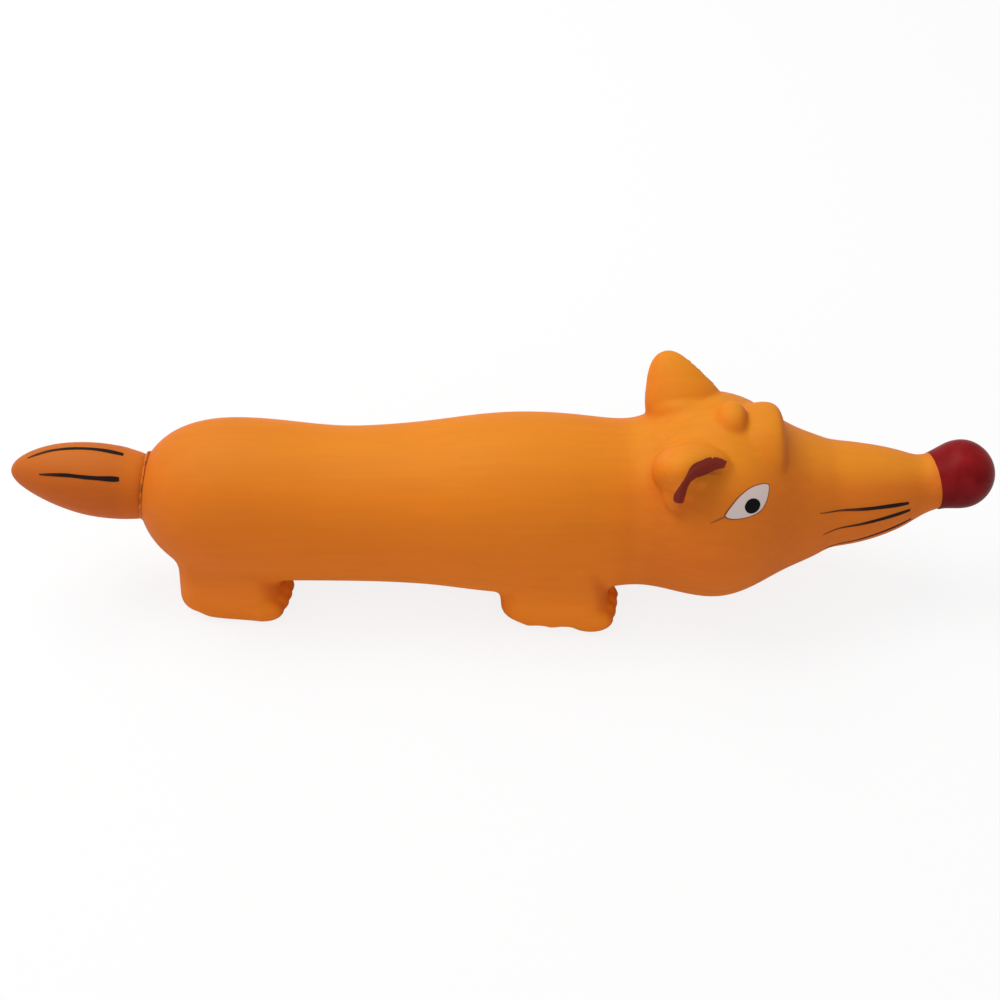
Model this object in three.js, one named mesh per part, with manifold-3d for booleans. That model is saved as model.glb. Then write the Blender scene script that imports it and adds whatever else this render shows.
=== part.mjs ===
// A latex squeaky fox for a dog: a long hollow rubber skin with legs, ears, snout and ball nose,
// a tail glued in at the rump, fibre wadding inside, and a reed squeaker in the belly.
// Millimetres. +X is towards the nose, +Y is the fox's left, +Z is up and the floor is at zero.
import * as THREE from 'three';
import { mergeVertices } from 'three/addons/utils/BufferGeometryUtils.js';
import Module from 'manifold-3d';

const wasm = await Module();
wasm.setup();
const { clamp, degToRad, lerp } = THREE.MathUtils;

// Driving dimensions of the whole toy
const torsoLength = 172;
const chestRadius = 32.1;
const headLength = 105.6;
const headRadius = 36;
const tailLength = 42; // the part that stands out of the rump
const tailRadius = 13;
const noseRadius = 12.3;
const noseStandout = 20.4; // from the end of the snout to the front of the nose
const bellyClearance = 1.8; // under the chest, with the feet on the floor
const latexWall = 1.6;
const pieceGap = 0.3; // between any two pieces
const paintThickness = 0.3;
const overrun = 3; // how far a cutting shape passes the face that it cuts

// Places along the toy, which is centred on X
const bodyAxisHeight = chestRadius + bellyClearance;
const toyLength = tailLength + torsoLength + headLength + noseStandout;
const rumpX = tailLength - toyLength / 2;
const neckX = rumpX + torsoLength;
const snoutX = neckX + headLength;

// Facets: how finely the round forms are divided
const torsoStations = 12;
const headStations = 15;
const browStations = 9;
const browFacets = 14;
const formFacets = 24;
const turnedFacets = 20;
const hollowStations = 8;
const hollowFacets = 12;
const smallFacets = 10;
const bisections = 24; // steps to find a place along a curved form

const latexOrange = new THREE.MeshStandardMaterial({ color: 0xe0822a, roughness: 0.7 });
const noseCrimson = new THREE.MeshStandardMaterial({ color: 0x8c1a22, roughness: 0.45 });
const brickPaint = new THREE.MeshStandardMaterial({ color: 0x8a3524, roughness: 0.7 });
const whitePaint = new THREE.MeshStandardMaterial({ color: 0xd9c7c2, roughness: 0.5 });
const blackPaint = new THREE.MeshStandardMaterial({ color: 0x16110f, roughness: 0.5 });
const fibre = new THREE.MeshStandardMaterial({ color: 0xeeeae2, roughness: 1 });
const squeakerPlastic = new THREE.MeshStandardMaterial({ color: 0xe6e6e0, roughness: 0.4 });
const reedPlastic = new THREE.MeshStandardMaterial({ color: 0xcfd8dc, roughness: 0.3 });

const toy = new THREE.Group();

function addPiece(name, geometry, material) {
  geometry.computeVertexNormals();
  const mesh = new THREE.Mesh(geometry, material);
  mesh.name = name;
  toy.add(mesh);
  return mesh;
}

// Closed meshes: joining and cutting

function indexedGeometry(positions, indices) {
  const geometry = new THREE.BufferGeometry();
  geometry.setAttribute('position', new THREE.Float32BufferAttribute(positions, 3));
  geometry.setIndex(indices);
  return geometry;
}

// Shared corners are merged, and triangles that a pole has closed up are dropped.
function welded(geometry) {
  const bare = geometry.clone();
  for (const name of Object.keys(bare.attributes)) {
    if (name !== 'position') bare.deleteAttribute(name);
  }
  const merged = mergeVertices(bare);
  const index = merged.getIndex().array;
  const kept = [];
  for (let i = 0; i < index.length; i += 3) {
    const [a, b, c] = [index[i], index[i + 1], index[i + 2]];
    if (a !== b && b !== c && a !== c) kept.push(a, b, c);
  }
  merged.setIndex(kept);
  return merged;
}

function solidOf(geometry) {
  const shape = welded(geometry);
  const vertProperties = new Float32Array(shape.getAttribute('position').array);
  const triVerts = new Uint32Array(shape.getIndex().array);
  return new wasm.Manifold(new wasm.Mesh({ numProp: 3, vertProperties, triVerts }));
}

function geometryOf(solid) {
  const mesh = solid.getMesh();
  return indexedGeometry(Array.from(mesh.vertProperties), Array.from(mesh.triVerts));
}

function joined(...solids) {
  return solids.reduce((all, solid) => all.add(solid));
}

function cutBy(solid, ...cutters) {
  return cutters.reduce((left, cutter) => left.subtract(cutter), solid);
}

// The same piece on the other side of the toy's middle plane.
function mirrored(geometry) {
  const copy = welded(geometry);
  copy.scale(1, -1, 1);
  const index = Array.from(copy.getIndex().array);
  for (let i = 0; i < index.length; i += 3) {
    [index[i + 1], index[i + 2]] = [index[i + 2], index[i + 1]];
  }
  copy.setIndex(index);
  return copy;
}

// A closed skin over a row of rings, with a fan at each end to the given end point.
function loft(rings, startPoint, endPoint) {
  const around = rings[0].length;
  const points = [...rings.flat(), startPoint, endPoint];
  const start = points.length - 2;
  const end = points.length - 1;
  const lastRing = (rings.length - 1) * around;
  const indices = [];
  for (let j = 0; j < around; j += 1) {
    const k = (j + 1) % around;
    indices.push(start, k, j, end, lastRing + j, lastRing + k);
    for (let i = 0; i < lastRing; i += around) {
      indices.push(i + j, i + k, i + around + k, i + j, i + around + k, i + around + j);
    }
  }
  return indexedGeometry(points.flatMap((point) => point.toArray()), indices);
}

function middleOf(ring) {
  const sum = ring.reduce((total, point) => total.add(point), new THREE.Vector3());
  return sum.divideScalar(ring.length);
}

// Everything between two places along X.
function slab(fromX, toX) {
  const box = new THREE.BoxGeometry(toX - fromX, toyLength, toyLength);
  box.translate((fromX + toX) / 2, 0, 0);
  return solidOf(box);
}

function ellipsoid(radiusX, radiusY, radiusZ, across, down) {
  const ball = new THREE.SphereGeometry(1, across, down);
  ball.scale(radiusX, radiusY, radiusZ);
  return ball;
}

// A round form along X. Each row of its table is a place along it as a share of its length, and
// there its radius and the rise of its axis, as shares of its largest radius and its full rise. A
// form that spreads is wider than it is tall in its middle.
class RoundForm {
  constructor({ startX, length, radius, axisZ, risen, table, spreadShare = 0 }) {
    this.startX = startX;
    this.length = length;
    this.spreadShare = spreadShare;
    const points = table.map(([along, out, rise]) => new THREE.Vector3(
      startX + along * length,
      out * radius,
      axisZ + rise * risen,
    ));
    this.curve = new THREE.CatmullRomCurve3(points, false, 'centripetal');
  }

  // The section at a share of the curve, grown outwards square to the surface.
  section(share, grow) {
    const point = this.curve.getPoint(share);
    const run = this.curve.getTangent(share);
    const slope = Math.hypot(run.x, run.y);
    const x = point.x - (grow * run.y) / slope;
    const radius = Math.max(point.y + (grow * run.x) / slope, 0);
    const along = clamp((point.x - this.startX) / this.length, 0, 1);
    const spread = this.spreadShare * Math.sin(Math.PI * along);
    return { x, z: point.z, wide: radius * (1 + spread), tall: radius * (1 - spread) };
  }

  // A point of a section. The angle runs from the top towards the fox's right.
  static pointOn({ x, z, wide, tall }, angle) {
    return new THREE.Vector3(x, -wide * Math.sin(angle), z + tall * Math.cos(angle));
  }

  // The point of the surface at a place along X.
  pointAt(x, angle, grow) {
    let low = 0;
    let high = 1;
    for (let i = 0; i < bisections; i += 1) {
      const middle = (low + high) / 2;
      if (this.section(middle, grow).x < x) low = middle;
      else high = middle;
    }
    return RoundForm.pointOn(this.section(low, grow), angle);
  }

  // The closed solid. A form whose table begins at no radius has a pole there.
  solid({ grow = 0, stations, facets, startRun = 0, endRun = 0, shortBy = 0 }) {
    const used = 1 - shortBy / this.length;
    const spaced = Array.from({ length: stations }, (_, i) => (
      this.curve.getUtoTmapping((used * i) / (stations - 1))
    ));
    const sections = spaced.map((share) => this.section(share, grow));
    if (startRun > 0) sections.unshift({ ...sections[0], x: sections[0].x - startRun });
    const hasPole = this.curve.points[0].y === 0;
    const pole = new THREE.Vector3(sections[0].x, 0, sections[0].z);
    if (hasPole) sections.shift();
    if (endRun > 0) {
      const last = sections[sections.length - 1];
      sections.push({ ...last, x: last.x + endRun });
    }
    const rings = sections.map((section) => Array.from({ length: facets }, (_, j) => (
      RoundForm.pointOn(section, (2 * Math.PI * j) / facets)
    )));
    const first = hasPole ? pole : middleOf(rings[0]);
    return solidOf(loft(rings, first, middleOf(rings[rings.length - 1])));
  }
}

// A layer of paint on a round form. Each row is a place along X with the angles of its two edges.
function paintLayer(form, rows, acrossFacets, lift = 0) {
  const under = pieceGap + lift;
  const over = under + paintThickness;
  const rings = rows.map(([x, lowAngle, highAngle]) => {
    const angles = Array.from({ length: acrossFacets + 1 }, (_, i) => (
      lerp(lowAngle, highAngle, i / acrossFacets)
    ));
    const outer = angles.map((angle) => form.pointAt(x, angle, over));
    const inner = angles.map((angle) => form.pointAt(x, angle, under));
    return [...outer, ...inner.reverse()];
  });
  return loft(rings, middleOf(rings[0]), middleOf(rings[rings.length - 1]));
}

// Torso: full at the chest, drawn in at the waist, round at the rump
const rumpRise = 3.5;
const neckRadiusShare = 0.894;
const torsoShares = [
  [0, 0, 1],
  [0.0043, 0.206, 1],
  [0.018, 0.411, 0.99],
  [0.049, 0.62, 0.94],
  [0.11, 0.8, 0.73],
  [0.19, 0.89, 0.53],
  [0.28, 0.888, 0.32],
  [0.419, 0.85, -0.21],
  [0.541, 0.879, -0.07],
  [0.663, 0.95, 0],
  [0.77, 1, 0],
  [0.87, 0.982, 0],
  [1, neckRadiusShare, 0],
];
const torso = new RoundForm({
  startX: rumpX,
  length: torsoLength,
  radius: chestRadius,
  axisZ: bodyAxisHeight,
  risen: rumpRise,
  table: torsoShares,
});

// Head: the cheeks swell to the largest radius, then the snout tapers and turns up to the nose
const snoutRise = 11.2;
const snoutRootShare = 0.6; // of the head's length, where the snout's casting begins
const neckShare = (neckRadiusShare * chestRadius) / headRadius;
const headShares = [
  [0, neckShare, 0],
  [0.052, lerp(neckShare, 1, 0.16), 0.13],
  [0.101, lerp(neckShare, 1, 0.37), 0.27],
  [0.199, lerp(neckShare, 1, 0.82), 0.34],
  [0.265, 1, 0.36],
  [0.35, 0.961, 0.36],
  [0.45, 0.822, 0.36],
  [0.549, 0.661, 0.32],
  [0.649, 0.539, 0.39],
  [0.795, 0.456, 0.47],
  [0.898, 0.367, 0.6],
  [0.955, 0.305, 0.72],
  [1.02, 0.262, 1],
];
const headSpreadShare = 0.03;
const head = new RoundForm({
  startX: neckX,
  length: headLength,
  radius: headRadius,
  axisZ: bodyAxisHeight,
  risen: snoutRise,
  table: headShares,
  spreadShare: headSpreadShare,
});

// Brow: a cap that ends in a step above the root of the snout. Its sizes are shares of the head's
// length and radius, and the skull covers it behind its start.
const browStartShare = 0.17;
const browLengthShare = 0.3125;
const browRadiusShare = 0.786;
const browRiseShare = 0.278;
const browSpreadShare = 0.05;
const browShares = [
  [0, 0, 1],
  [0.1, 0.55, 1],
  [0.3, 0.9, 1],
  [0.55, 1, 1],
  [0.82, 0.96, 1],
  [0.92, 0.9, 1],
  [0.97, 0.79, 1],
  [0.995, 0.6, 1],
];
const brow = new RoundForm({
  startX: neckX + browStartShare * headLength,
  length: browLengthShare * headLength,
  radius: browRadiusShare * headRadius,
  axisZ: bodyAxisHeight,
  risen: browRiseShare * headRadius,
  table: browShares,
  spreadShare: browSpreadShare,
});

// Forelock: two rounded locks on the midline, one on the crown and one over the brow. The middle
// of a lock, from the neck's, and its three radii are shares of the head's radius.
const browLock = { middleShares: [1.2, 0, 0.95], radiusShares: [0.19, 0.25, 0.228] };
const crownLock = { middleShares: [0.885, 0, 1.05], radiusShares: [0.155, 0.2, 0.185] };

function lockOf({ middleShares, radiusShares }) {
  const lock = ellipsoid(...radiusShares, smallFacets, smallFacets / 2);
  lock.translate(...middleShares);
  lock.scale(headRadius, headRadius, headRadius);
  lock.translate(neckX, 0, bodyAxisHeight);
  return lock;
}

// Tail: a fat spindle on a ball root, which turns in a socket of the rump
const tailRootRadius = 12;
const tailRootInset = 2.5; // from the end of the rump in to the middle of the ball
const tailRootRise = 8.2;
const tailTipRise = 7.2; // above the ball
const tailSwing = degToRad(18);
const tailStations = 11;
const tailFacets = 14;
const tailShares = [
  [0, 0, 1],
  [0.023, 0.185, 0.985],
  [0.06, 0.36, 0.957],
  [0.135, 0.51, 0.9],
  [0.24, 0.69, 0.81],
  [0.37, 0.838, 0.67],
  [0.55, 0.955, 0.45],
  [0.72, 1, 0.34],
  [0.88, 0.97, 0.18],
  [1, 0.91, 0],
];
const tailPivot = new THREE.Vector3(rumpX + tailRootInset, 0, bodyAxisHeight + tailRootRise);
const tail = new RoundForm({
  startX: rumpX - tailLength,
  length: tailLength + tailRootInset,
  radius: tailRadius,
  axisZ: tailPivot.z,
  risen: tailTipRise,
  table: tailShares,
});

function tailSolid(grow) {
  const root = new THREE.SphereGeometry(tailRootRadius + grow, tailFacets, tailFacets / 2);
  root.rotateX(Math.PI / 2);
  root.translate(...tailPivot);
  return joined(tail.solid({ grow, stations: tailStations, facets: tailFacets }), solidOf(root));
}

// Turned about an axis through a point, as a piece is when its root flexes.
function turned(geometry, pivot, axis, angle) {
  const copy = geometry.clone();
  copy.translate(-pivot.x, -pivot.y, -pivot.z);
  copy.applyMatrix4(new THREE.Matrix4().makeRotationAxis(axis, angle));
  copy.translate(...pivot);
  return copy;
}

// The room that a flexing piece sweeps, as a solid to cut its neighbour with.
function sweptRoom(solid, pivot, axis, angles) {
  const geometry = geometryOf(solid);
  return joined(...angles.map((angle) => solidOf(turned(geometry, pivot, axis, angle))));
}

const upAxis = new THREE.Vector3(0, 0, 1);
const tailRoom = sweptRoom(tailSolid(2 * pieceGap), tailPivot, upAxis, [-tailSwing, tailSwing]);

// Ears: thick cupped cones that lean outwards from a round root on the side of the crown
const earPlaceShare = 0.175; // of the head's length from the neck
const earSideShare = 0.444; // of the head's radius, as are the next seven
const earRiseShare = 0.847;
const earHeightShare = 0.569;
const earRootLongShare = 0.333;
const earRootRadiusShare = 0.278;
const earTipSweepShare = 0.15; // how far the tip lies behind the middle of the root
const earLean = degToRad(45); // outwards from upright
const earSwing = degToRad(10);
const earHeight = earHeightShare * headRadius;
const earRootLong = earRootLongShare * headRadius;
const earRootRadius = earRootRadiusShare * headRadius;
const earTipSweep = earTipSweepShare * headRadius;
const earFacets = 12;
const earShares = [
  [0, 1, 1],
  [0.25, 0.95, 0.9],
  [0.5, 0.79, 0.75],
  [0.72, 0.6, 0.6],
  [0.88, 0.43, 0.44],
  [0.97, 0.22, 0.24],
];

// The ear's upper form in its own frame: Z from root to tip, X fore and aft, Y through it.
function earCone(grow) {
  const rings = earShares.map(([up, long, thick]) => {
    const halfLong = long * earRootLong + grow;
    const halfThick = thick * earRootRadius + grow;
    return Array.from({ length: earFacets }, (_, j) => {
      const angle = (2 * Math.PI * j) / earFacets;
      return new THREE.Vector3(
        halfLong * Math.cos(angle) - up * earTipSweep,
        halfThick * Math.sin(angle),
        up * earHeight,
      );
    });
  });
  const tip = new THREE.Vector3(-earTipSweep, 0, earHeight + grow);
  return loft(rings, middleOf(rings[0]), tip);
}

const earPivot = new THREE.Vector3(
  neckX + earPlaceShare * headLength,
  -earSideShare * headRadius,
  bodyAxisHeight + earRiseShare * headRadius,
);
const foreAftAxis = new THREE.Vector3(1, 0, 0);

function placedEar(geometry) {
  geometry.rotateX(earLean);
  geometry.translate(...earPivot);
  return solidOf(geometry);
}

function earSolid(grow) {
  const across = earRootRadius + grow;
  const root = ellipsoid(earRootLong + grow, across, across, earFacets, earFacets / 2);
  return joined(placedEar(earCone(grow)), placedEar(root));
}

// The cup of the ear: a scoop that opens outwards and forwards. Each row is how far it lies up the
// ear, and then its near wall, its half depth and its half width as shares of the root's length.
const scoopTurn = degToRad(47.6); // from forwards towards the fox's side
const scoopFacets = 10;
const scoopShares = [
  [0.2, 0.18, 0.25, 0.35],
  [0.25, 0.09, 0.5, 0.64],
  [0.35, 0, 0.67, 0.82],
  [0.5, -0.11, 0.75, 1],
  [0.75, -0.21, 0.75, 1.04],
  [1.2, -0.31, 0.75, 1.04],
];

function earCup(grow) {
  const rings = scoopShares.map(([up, near, deep, wide]) => {
    const halfDeep = deep * earRootLong + grow;
    const halfWide = wide * earRootLong + grow;
    return Array.from({ length: scoopFacets }, (_, j) => {
      const angle = (2 * Math.PI * j) / scoopFacets;
      return new THREE.Vector3(
        (near + deep) * earRootLong + halfDeep * Math.cos(angle),
        halfWide * Math.sin(angle),
        up * earHeight - grow,
      );
    });
  });
  const cup = loft(rings, middleOf(rings[0]), middleOf(rings[rings.length - 1]));
  cup.rotateZ(-scoopTurn);
  return placedEar(cup);
}

const rightEarRoom = sweptRoom(earSolid(2 * pieceGap), earPivot, foreAftAxis, [-earSwing, earSwing]);
const leftEarRoom = solidOf(mirrored(geometryOf(rightEarRoom)));

// Nose: a hollow ball that sits in the cupped end of the snout
const noseAboveSnout = 2.7; // from the snout's axis to the middle of the ball
const noseFacets = 16;
const noseShellWall = 2.4;
const noseMouthRadius = 5;
const snoutPlugLength = 5; // the hollow of the snout stops this far short of its end
const noseMiddle = new THREE.Vector3(
  toyLength / 2 - noseRadius,
  0,
  bodyAxisHeight + snoutRise + noseAboveSnout,
);

// A hollow ball with its mouth to the rear, against the snout.
function noseShell() {
  const mouthAngle = Math.asin(noseMouthRadius / noseRadius);
  const innerRadius = noseRadius - noseShellWall;
  const innerMouthAngle = Math.asin(noseMouthRadius / innerRadius);
  const rows = noseFacets / 2;
  const arc = (radius, from, to) => Array.from({ length: rows + 1 }, (_, i) => {
    const angle = lerp(from, to, i / rows);
    return new THREE.Vector2(radius * Math.sin(angle), radius * Math.cos(angle));
  });
  const profile = [
    ...arc(innerRadius, 0, Math.PI - innerMouthAngle),
    ...arc(noseRadius, Math.PI - mouthAngle, 0),
  ];
  const shell = new THREE.LatheGeometry(profile, noseFacets);
  shell.rotateZ(-Math.PI / 2);
  shell.translate(...noseMiddle);
  return welded(shell);
}

function ballAt(centre, radius, facets) {
  const ball = new THREE.SphereGeometry(radius, facets, facets / 2);
  ball.translate(centre.x, centre.y, centre.z);
  return solidOf(ball);
}

const noseSeat = ballAt(noseMiddle, noseRadius + 2 * pieceGap, noseFacets);

// Squeaker: a flanged cup in the belly port, with its reed standing in the middle
const squeakerFromRump = 90;
const portRadius = 7;
const portCollarWall = 3;
const portCollarDepth = 6;
const flangeWidth = 2.2;
const flangeThickness = 1.2;
const housingWall = 1.2;
const housingDepth = 13;

const squeakerX = rumpX + squeakerFromRump;
const collarRadius = portRadius + portCollarWall;
const bellyZ = Math.min(...[-collarRadius, collarRadius].map((reach) => (
  torso.pointAt(squeakerX + reach, Math.PI, 0).z
)));
const portFaceZ = bellyZ - pieceGap; // clear of the lowest skin beside the collar
const housingTopZ = portFaceZ + housingDepth;

function uprightCylinder(radius, lowZ, highZ, facets) {
  const cylinder = new THREE.CylinderGeometry(radius, radius, highZ - lowZ, facets);
  cylinder.rotateX(Math.PI / 2);
  cylinder.translate(squeakerX, 0, (lowZ + highZ) / 2);
  return cylinder;
}

function turnedPiece(profile, facets) {
  const shape = new THREE.LatheGeometry(profile.map(([r, z]) => new THREE.Vector2(r, z)), facets);
  shape.rotateX(Math.PI / 2);
  shape.translate(squeakerX, 0, 0);
  return shape;
}

const portCollar = solidOf(uprightCylinder(
  collarRadius,
  portFaceZ,
  portFaceZ + portCollarDepth,
  turnedFacets,
));
const portBore = solidOf(uprightCylinder(
  portRadius,
  portFaceZ - overrun,
  portFaceZ + portCollarDepth + overrun,
  turnedFacets,
));

// The skins of the torso, head and snout, cut for the pieces that seat in them
const torsoOuter = torso.solid({ stations: torsoStations, facets: formFacets });
const torsoHollow = torso.solid({
  grow: -latexWall,
  stations: hollowStations,
  facets: hollowFacets,
  endRun: overrun,
});
const torsoSkin = cutBy(joined(cutBy(torsoOuter, torsoHollow), portCollar), portBore, tailRoom);
addPiece('torso_skin', geometryOf(torsoSkin), latexOrange);

const headOuter = joined(
  head.solid({ stations: headStations, facets: formFacets }),
  brow.solid({ stations: browStations, facets: browFacets }),
  solidOf(lockOf(browLock)),
  solidOf(lockOf(crownLock)),
);
const headHollow = head.solid({
  grow: -latexWall,
  stations: hollowStations,
  facets: hollowFacets,
  startRun: overrun,
  shortBy: snoutPlugLength,
});
const wholeHead = cutBy(headOuter, headHollow, noseSeat, rightEarRoom, leftEarRoom);
const snoutRootX = neckX + snoutRootShare * headLength;
const headSkin = cutBy(
  wholeHead,
  slab(neckX - overrun, neckX + pieceGap),
  slab(snoutRootX, snoutRootX + toyLength),
);
const snoutSkin = cutBy(wholeHead, slab(snoutRootX - toyLength, snoutRootX + pieceGap));
addPiece('head_skin', geometryOf(headSkin), latexOrange);
addPiece('snout_skin', geometryOf(snoutSkin), latexOrange);

const noseBall = noseShell();
addPiece('nose_ball', noseBall, noseCrimson);

// Legs: hollow stubs that run into the flank, each on a long flat foot with four toes
const legHeight = 27;
const toeReach = 7; // half of a toe's length
const toeRadius = 3.1;
const toeHalfHeight = 5;
const toeMiddleHeight = 4.3;
const toesPerFoot = 4;
const frontFootLong = 42;
const frontFootWide = 21;
const frontHeelFromNeck = 44.8;
const frontFootOuterSide = 31.2; // from the toy's middle to the outer side of the heel
const rearFootLong = 41.2;
const rearFootWide = 21;
const rearHeelFromRump = 12.4;
const rearFootOuterSide = 26.2;
const frontFoot = {
  heelX: neckX - frontHeelFromNeck,
  long: frontFootLong,
  wide: frontFootWide,
  outerSide: frontFootOuterSide,
  splay: degToRad(3.5),
};
const rearFoot = {
  heelX: rumpX + rearHeelFromRump,
  long: rearFootLong,
  wide: rearFootWide,
  outerSide: rearFootOuterSide,
  splay: degToRad(4.5),
};
const toeSetbackShares = [0, 0.005, 0.03, 0.12]; // inner toe to outer toe
const legShares = [
  [0, 0.07, 0.84, 0.07, 0.93],
  [0.08, 0.02, 0.9, 0.01, 1],
  [0.27, 0, 0.9, 0, 1],
  [0.37, 0, 0.8, 0.02, 1],
  [0.5, 0.01, 0.68, 0.05, 0.99],
  [1, 0.1, 0.56, 0.25, 0.82],
];
const legFacets = 12;
const legHollowFacets = 6;
const toeFacets = 8;
const legRoundPower = 0.72; // 1 gives oval sections, and less gives squarer ones

function roundedSide(side) {
  return Math.sign(side) * Math.abs(side) ** legRoundPower;
}

// The leg from its sole up. Each row is its height, then its heel, toe, inner and outer sides.
function legForm({ long, wide }, grow, facets) {
  const rings = legShares.map(([up, heel, toe, inner, outer]) => {
    const halfLong = ((toe - heel) * long) / 2 + grow;
    const halfWide = ((outer - inner) * wide) / 2 + grow;
    return Array.from({ length: facets }, (_, j) => {
      const angle = (2 * Math.PI * j) / facets;
      return new THREE.Vector3(
        ((heel + toe) * long) / 2 + halfLong * roundedSide(Math.cos(angle)),
        ((inner + outer) * -wide) / 2 + halfWide * roundedSide(Math.sin(angle)),
        up * legHeight,
      );
    });
  });
  return loft(rings, middleOf(rings[0]), middleOf(rings[rings.length - 1]));
}

function toes({ long, wide }) {
  return toeSetbackShares.map((setback, i) => {
    const toe = ellipsoid(toeReach, toeRadius, toeHalfHeight, toeFacets, toeFacets / 2);
    const across = (wide * (i + 1 / 2)) / toesPerFoot;
    toe.translate(long * (1 - setback) - toeReach, -across, toeMiddleHeight);
    return solidOf(toe);
  });
}

const floorSlab = solidOf(new THREE.BoxGeometry(2 * toyLength, 2 * toyLength, 2 * overrun)
  .translate(0, 0, -overrun));

function placedLeg(solid, { heelX, wide, outerSide, splay }) {
  const geometry = geometryOf(solid);
  geometry.rotateZ(-splay);
  geometry.translate(heelX, wide - outerSide, 0);
  return solidOf(geometry);
}

const torsoRoom = torso.solid({ grow: pieceGap, stations: torsoStations, facets: formFacets });

function rightLeg(foot) {
  const outer = joined(solidOf(legForm(foot, 0, legFacets)), ...toes(foot));
  const hollow = solidOf(legForm(foot, -latexWall, legHollowFacets).translate(0, 0, latexWall));
  return cutBy(placedLeg(cutBy(outer, hollow), foot), torsoRoom, floorSlab);
}

const frontRight = geometryOf(rightLeg(frontFoot));
const rearRight = geometryOf(rightLeg(rearFoot));
addPiece('front_right_leg', frontRight, latexOrange);
addPiece('front_left_leg', mirrored(frontRight), latexOrange);
addPiece('rear_right_leg', rearRight, latexOrange);
addPiece('rear_left_leg', mirrored(rearRight), latexOrange);

// Ears and tail
const rightEar = geometryOf(cutBy(earSolid(0), earCup(0)));
addPiece('right_ear', rightEar, latexOrange);
addPiece('left_ear', mirrored(rightEar), latexOrange);

const tailHollow = tail.solid({
  grow: -latexWall,
  stations: hollowStations,
  facets: hollowFacets,
  endRun: 2 * tailRootRadius,
});
addPiece('tail', geometryOf(cutBy(tailSolid(0), tailHollow)), latexOrange);

// Painted marks: the eyes, each an almond of white with its front corner raised and an oval pupil.
// Angles run from the top of the form towards the fox's right.
const eyePlaceShare = 0.352; // of the head's length, from the neck to the middle of the pupil
const eyeAngle = degToRad(52);
const eyeLength = 15;
const eyeHeight = 11;
const pupilLong = 5.3;
const pupilHigh = 5.8;
const eyeFacetsAcross = 3;
const eyeShares = [
  [-0.6, -0.34, -0.3],
  [-0.47, -0.4, -0.06],
  [-0.33, -0.4, 0.19],
  [-0.13, -0.36, 0.41],
  [0, -0.3, 0.53],
  [0.13, -0.21, 0.58],
  [0.24, -0.09, 0.62],
  [0.33, 0.1, 0.62],
  [0.4, 0.36, 0.56],
];
const pupilRows = 6;
const pupilEndShare = 0.06; // of a half turn, where its two ends are cut off

function eyeRows(shares, long, high) {
  return shares.map(([along, low, top]) => [
    neckX + eyePlaceShare * headLength + along * long,
    eyeAngle - (top * high) / headRadius,
    eyeAngle - (low * high) / headRadius,
  ]);
}

const pupilShares = Array.from({ length: pupilRows + 1 }, (_, i) => {
  const turn = Math.PI * lerp(pupilEndShare, 1 - pupilEndShare, i / pupilRows);
  return [-Math.cos(turn) / 2, -Math.sin(turn) / 2, Math.sin(turn) / 2];
});
const browRoom = brow.solid({ grow: pieceGap, stations: browStations, facets: browFacets });
const eyeLayer = paintLayer(head, eyeRows(eyeShares, eyeLength, eyeHeight), eyeFacetsAcross);
const eyeWhite = geometryOf(cutBy(solidOf(eyeLayer), browRoom));
const pupil = paintLayer(
  head,
  eyeRows(pupilShares, pupilLong, pupilHigh),
  eyeFacetsAcross,
  paintThickness + pieceGap,
);
addPiece('right_eye_white', eyeWhite, whitePaint);
addPiece('left_eye_white', mirrored(eyeWhite), whitePaint);
addPiece('right_pupil', pupil, blackPaint);
addPiece('left_pupil', mirrored(pupil), blackPaint);

// Brush strokes on the snout and tail: each tapers from its broad end
const strokeShares = [[0, 0.2], [0.15, 0.5], [0.4, 0.75], [0.7, 1], [0.9, 0.9], [1, 0.35]];

// A stroke from one place and angle on a form to another, with its width as an angle.
function stroke(form, { startX, endX, startAngle, endAngle, width, radius }) {
  const rows = strokeShares.map(([along, broad]) => {
    const angle = lerp(startAngle, endAngle, along);
    const half = (broad * width) / 2 / radius;
    return [lerp(startX, endX, along), angle - half, angle + half];
  });
  return paintLayer(form, rows, 1);
}

const whiskerWidth = 1.4;
const snoutRadiusShare = 0.47; // of the head's radius, at the middle of the whiskers
const whiskerShares = {
  upper: { start: 0.593, end: 0.891, startAngle: degToRad(66), endAngle: degToRad(69) },
  middle: { start: 0.612, end: 0.9, startAngle: degToRad(90), endAngle: degToRad(82) },
  lower: { start: 0.635, end: 0.915, startAngle: degToRad(117), endAngle: degToRad(105) },
};
for (const [place, { start, end, startAngle, endAngle }] of Object.entries(whiskerShares)) {
  const whisker = stroke(head, {
    startX: neckX + start * headLength,
    endX: neckX + end * headLength,
    startAngle,
    endAngle,
    width: whiskerWidth,
    radius: snoutRadiusShare * headRadius,
  });
  addPiece(`right_whisker_${place}`, whisker, blackPaint);
  addPiece(`left_whisker_${place}`, mirrored(whisker), blackPaint);
}

const tailStrokeWidth = 1.8;
const tailStrokeStartShare = 0.19; // of the tail's length from its tip, as is the next
const tailStrokeEndShare = 0.952;
const tailStrokeAngles = { top: degToRad(-9), right: degToRad(40), left: degToRad(-58) };
for (const [place, angle] of Object.entries(tailStrokeAngles)) {
  const mark = stroke(tail, {
    startX: rumpX - (1 - tailStrokeStartShare) * tailLength,
    endX: rumpX - (1 - tailStrokeEndShare) * tailLength,
    startAngle: angle,
    endAngle: angle,
    width: tailStrokeWidth,
    radius: tailRadius,
  });
  addPiece(`tail_stroke_${place}`, mark, blackPaint);
}

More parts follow.
